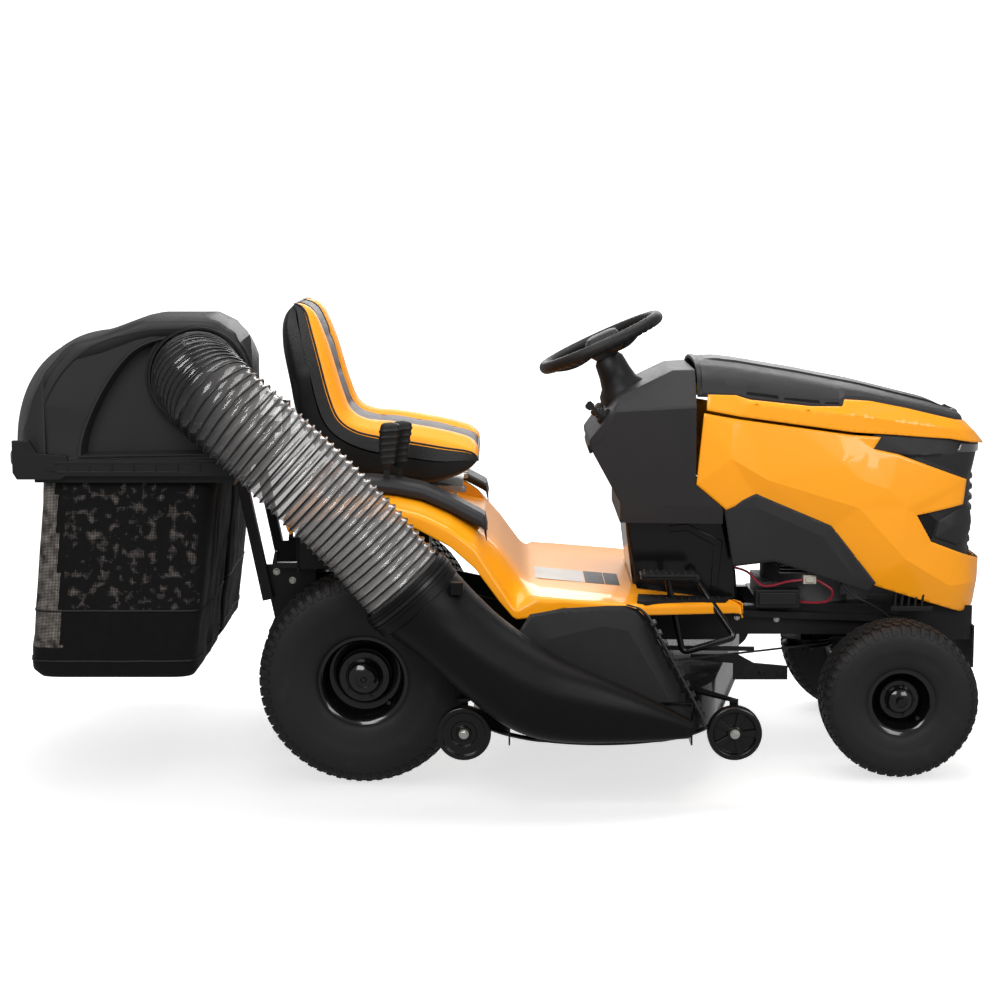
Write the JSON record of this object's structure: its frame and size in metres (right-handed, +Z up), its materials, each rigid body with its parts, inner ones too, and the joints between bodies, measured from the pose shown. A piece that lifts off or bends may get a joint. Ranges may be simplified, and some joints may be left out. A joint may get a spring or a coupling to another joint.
{
  "type": "lawn tractor",
  "caption": "Front-engine lawn tractor with a side-discharge mowing deck, a discharge boot and clear ribbed hose, and a rear bagger under one hinged cover.",
  "frame": {"origin": "on the ground, under the middle of the whole machine's box", "axes": "+X forwards, +Y to the driver's left, +Z up"},
  "size_m": [2.483, 1.44, 1.1429],
  "materials": {
    "frame_paint": "satin black paint",
    "body_yellow": "gloss yellow paint",
    "charcoal_plastic": "fine grained moulded plastic",
    "black_plastic": "satin moulded plastic",
    "tyre": "matte rubber",
    "rim_paint": "gloss black paint",
    "cast_alloy": "cast",
    "steel": "zinc plated",
    "seat_vinyl": "vinyl with yellow and grey panels",
    "bag_fabric": "woven polyester with mesh windows",
    "hose_clear": "clear ribbed wall with dark helix",
    "belt_rubber": "matte",
    "grip_rubber": "moulded grip",
    "knob_yellow": "moulded"
  },
  "bodies": {
    "chassis": {"frame_rails": "frame_paint", "hitch_plate": "frame_paint", "transaxle": "cast_alloy", "engine_block": "cast_alloy", "engine_shroud": "black_plastic", "muffler": "steel", "fuel_tank": "black_plastic", "dash_panel": "charcoal_plastic", "column_boot": "black_plastic", "pedestal": "frame_paint", "lower_panels": "charcoal_plastic", "fender": "body_yellow", "fender_trim": "charcoal_plastic", "deck_belt": "belt_rubber", "bagger_frame": "frame_paint", "flexible_hose": "hose_clear"},
    "hood": {"hood_body": "body_yellow", "hood_top": "charcoal_plastic", "grille": "black_plastic"},
    "steering": {"steering_wheel": "grip_rubber", "steering_shaft": "steel"},
    "pinion": {"pinion_shaft": "steel"},
    "sector": {"sector_gear": "steel"},
    "right_knuckle": {"knuckle_right": "frame_paint"},
    "left_knuckle": {"knuckle_left": "frame_paint"},
    "axle": {"front_axle": "frame_paint"},
    "tie_rod": {"tie_rod": "steel"},
    "drag_link": {"drag_link": "steel"},
    "rear_wheel_right": {"rear_tyre_right": "tyre", "rear_rim_right": "rim_paint"},
    "rear_wheel_left": {"rear_tyre_left": "tyre", "rear_rim_left": "rim_paint"},
    "front_wheel_right": {"front_tyre_right": "tyre", "front_rim_right": "rim_paint"},
    "front_wheel_left": {"front_tyre_left": "tyre", "front_rim_left": "rim_paint"},
    "crank": {"crank_pulley": "steel"},
    "deck": {"deck_shell": "frame_paint", "chute_boot": "charcoal_plastic"},
    "deflector": {"deflector": "charcoal_plastic"},
    "right_spindle": {"spindle_right": "steel", "blade_right": "steel"},
    "left_spindle": {"spindle_left": "steel", "blade_left": "steel"},
    "gauge_front_right": {"gauge_wheel_front_right": "black_plastic"},
    "gauge_rear_right": {"gauge_wheel_rear_right": "black_plastic"},
    "gauge_front_left": {"gauge_wheel_front_left": "black_plastic"},
    "gauge_rear_left": {"gauge_wheel_rear_left": "black_plastic"},
    "lift_lever": {"lift_lever": "grip_rubber"},
    "speed_lever": {"speed_lever": "grip_rubber"},
    "seat_base": {"seat_bracket": "steel"},
    "seat": {"seat_cushion": "seat_vinyl", "seat_back": "seat_vinyl"},
    "cover": {"bag_cover": "charcoal_plastic"},
    "bag_right": {"bag_right": "bag_fabric"},
    "bag_left": {"bag_left": "bag_fabric"},
    "key": {"ignition_key": "steel"},
    "throttle": {"throttle_lever": "black_plastic"},
    "blade_knob": {"pto_knob": "knob_yellow"},
    "pedal": {"drive_pedal": "grip_rubber"}
  },
  "joints": [
    {"name": "rear_right_spin", "type": "hinge", "parent": "chassis", "child": "rear_wheel_right", "pos_m": [-0.323, -0.308, 0.254], "axis": [0, 1, 0], "continuous": true},
    {"name": "rear_left_spin", "type": "hinge", "parent": "chassis", "child": "rear_wheel_left", "pos_m": [-0.323, 0.448, 0.254], "axis": [0, 1, 0], "continuous": true},
    {"name": "axle_rock", "type": "hinge", "parent": "chassis", "child": "axle", "pos_m": [0.978, 0.07, 0.262], "axis": [1, 0, 0], "range_deg": [-3.5, 3.5]},
    {"name": "right_steer", "type": "hinge", "parent": "axle", "child": "right_knuckle", "pos_m": [0.978, -0.185, 0.26], "axis": [0, 0, 1], "range_deg": [-30, 30]},
    {"name": "left_steer", "type": "hinge", "parent": "axle", "child": "left_knuckle", "pos_m": [0.978, 0.325, 0.26], "axis": [0, 0, 1], "range_deg": [-30, 30]},
    {"name": "front_right_spin", "type": "hinge", "parent": "right_knuckle", "child": "front_wheel_right", "pos_m": [0.978, -0.285, 0.1905], "axis": [0, 1, 0], "continuous": true},
    {"name": "front_left_spin", "type": "hinge", "parent": "left_knuckle", "child": "front_wheel_left", "pos_m": [0.978, 0.425, 0.1905], "axis": [0, 1, 0], "continuous": true},
    {"name": "tie_rod_turn", "type": "hinge", "parent": "right_knuckle", "child": "tie_rod", "pos_m": [0.888, -0.185, 0.205], "axis": [0, 0, 1], "range_deg": [-30, 30]},
    {"name": "drag_link_turn", "type": "hinge", "parent": "left_knuckle", "child": "drag_link", "pos_m": [0.888, 0.325, 0.28], "axis": [0, 0, 1], "range_deg": [-30, 30]},
    {"name": "sector_turn", "type": "hinge", "parent": "chassis", "child": "sector", "pos_m": [0.56, 0.07, 0.314], "axis": [0, 0, 1], "range_deg": [-30, 30]},
    {"name": "pinion_turn", "type": "hinge", "parent": "chassis", "child": "pinion", "pos_m": [0.5, 0.07, 0.314], "axis": [0, 0, 1], "range_deg": [-150, 150]},
    {"name": "steering_turn", "type": "hinge", "parent": "chassis", "child": "steering", "pos_m": [0.263, 0.07, 1.036], "axis": [-0.4179, 0, 0.9085], "range_deg": [-150, 150]},
    {"name": "crank_spin", "type": "hinge", "parent": "chassis", "child": "crank", "pos_m": [0.805, 0.07, 0.3], "axis": [0, 0, 1], "continuous": true},
    {"name": "deck_lift", "type": "slide", "parent": "chassis", "child": "deck", "axis": [0, 0, 1], "range_m": [-0.075, 0], "deforming": ["flexible_hose", "deck_belt"]},
    {"name": "right_blade_spin", "type": "hinge", "parent": "deck", "child": "right_spindle", "pos_m": [0.24, -0.222, 0.2], "axis": [0, 0, 1], "continuous": true},
    {"name": "left_blade_spin", "type": "hinge", "parent": "deck", "child": "left_spindle", "pos_m": [0.36, 0.362, 0.2], "axis": [0, 0, 1], "continuous": true},
    {"name": "deflector_tilt", "type": "hinge", "parent": "deck", "child": "deflector", "pos_m": [0.205, -0.526, 0.254], "axis": [1, 0, 0], "range_deg": [-20, 0], "stiffness_Nm_per_rad": 20, "springref_deg": 28.65},
    {"name": "gauge_front_right_spin", "type": "hinge", "parent": "deck", "child": "gauge_front_right", "pos_m": [0.55, -0.558, 0.17], "axis": [0, 1, 0], "continuous": true},
    {"name": "gauge_rear_right_spin", "type": "hinge", "parent": "deck", "child": "gauge_rear_right", "pos_m": [-0.079, -0.558, 0.17], "axis": [0, 1, 0], "continuous": true},
    {"name": "gauge_front_left_spin", "type": "hinge", "parent": "deck", "child": "gauge_front_left", "pos_m": [0.665, 0.698, 0.17], "axis": [0, 1, 0], "continuous": true},
    {"name": "gauge_rear_left_spin", "type": "hinge", "parent": "deck", "child": "gauge_rear_left", "pos_m": [0.035, 0.698, 0.17], "axis": [0, 1, 0], "continuous": true},
    {"name": "lift_lever_turn", "type": "hinge", "parent": "chassis", "child": "lift_lever", "pos_m": [-0.275, -0.275, 0.57], "axis": [0, 1, 0], "range_deg": [0, 22]},
    {"name": "speed_lever_turn", "type": "hinge", "parent": "chassis", "child": "speed_lever", "pos_m": [-0.247, -0.235, 0.57], "axis": [0, 1, 0], "range_deg": [-8, 18]},
    {"name": "hood_tilt", "type": "hinge", "parent": "chassis", "child": "hood", "pos_m": [1.19, 0.07, 0.372], "axis": [0, 1, 0], "range_deg": [0, 60]},
    {"name": "seat_tilt", "type": "hinge", "parent": "chassis", "child": "seat_base", "pos_m": [-0.09, 0.07, 0.676], "axis": [0, 1, 0], "range_deg": [0, 50]},
    {"name": "seat_slide", "type": "slide", "parent": "seat_base", "child": "seat", "axis": [1, 0, 0], "range_m": [0, 0.08]},
    {"name": "cover_tilt", "type": "hinge", "parent": "chassis", "child": "cover", "pos_m": [-0.589, 0.07, 0.86], "axis": [0, 1, 0], "range_deg": [0, 16]},
    {"name": "bag_right_slide", "type": "slide", "parent": "chassis", "child": "bag_right", "axis": [-1, 0, 0], "range_m": [0, 0.45]},
    {"name": "bag_left_slide", "type": "slide", "parent": "chassis", "child": "bag_left", "axis": [-1, 0, 0], "range_m": [0, 0.45]},
    {"name": "key_turn", "type": "hinge", "parent": "chassis", "child": "key", "pos_m": [0.267, -0.08, 0.859], "axis": [-0.8049, 0, 0.5934], "range_deg": [-60, 60]},
    {"name": "throttle_slide", "type": "slide", "parent": "chassis", "child": "throttle", "axis": [0.5934, 0, 0.8049], "range_m": [0, 0.03]},
    {"name": "knob_pull", "type": "slide", "parent": "chassis", "child": "blade_knob", "axis": [-0.8049, 0, 0.5934], "range_m": [0, 0.012]},
    {"name": "pedal_rock", "type": "hinge", "parent": "chassis", "child": "pedal", "pos_m": [0.489, -0.135, 0.465], "axis": [0, 1, 0], "range_deg": [-7, 7], "stiffness_Nm_per_rad": 40}
  ],
  "couplings": [
    {"joint": "left_steer", "follows": "right_steer", "ratio": 1},
    {"joint": "tie_rod_turn", "follows": "right_steer", "ratio": -1},
    {"joint": "drag_link_turn", "follows": "right_steer", "ratio": -1},
    {"joint": "sector_turn", "follows": "right_steer", "ratio": 1},
    {"joint": "pinion_turn", "follows": "right_steer", "ratio": 5},
    {"joint": "steering_turn", "follows": "right_steer", "ratio": 5},
    {"joint": "left_blade_spin", "follows": "right_blade_spin", "ratio": 1},
    {"joint": "crank_spin", "follows": "right_blade_spin", "ratio": 0.9394},
    {"joint": "lift_lever_turn", "follows": "deck_lift", "rad_per_m": -5.1}
  ]
}
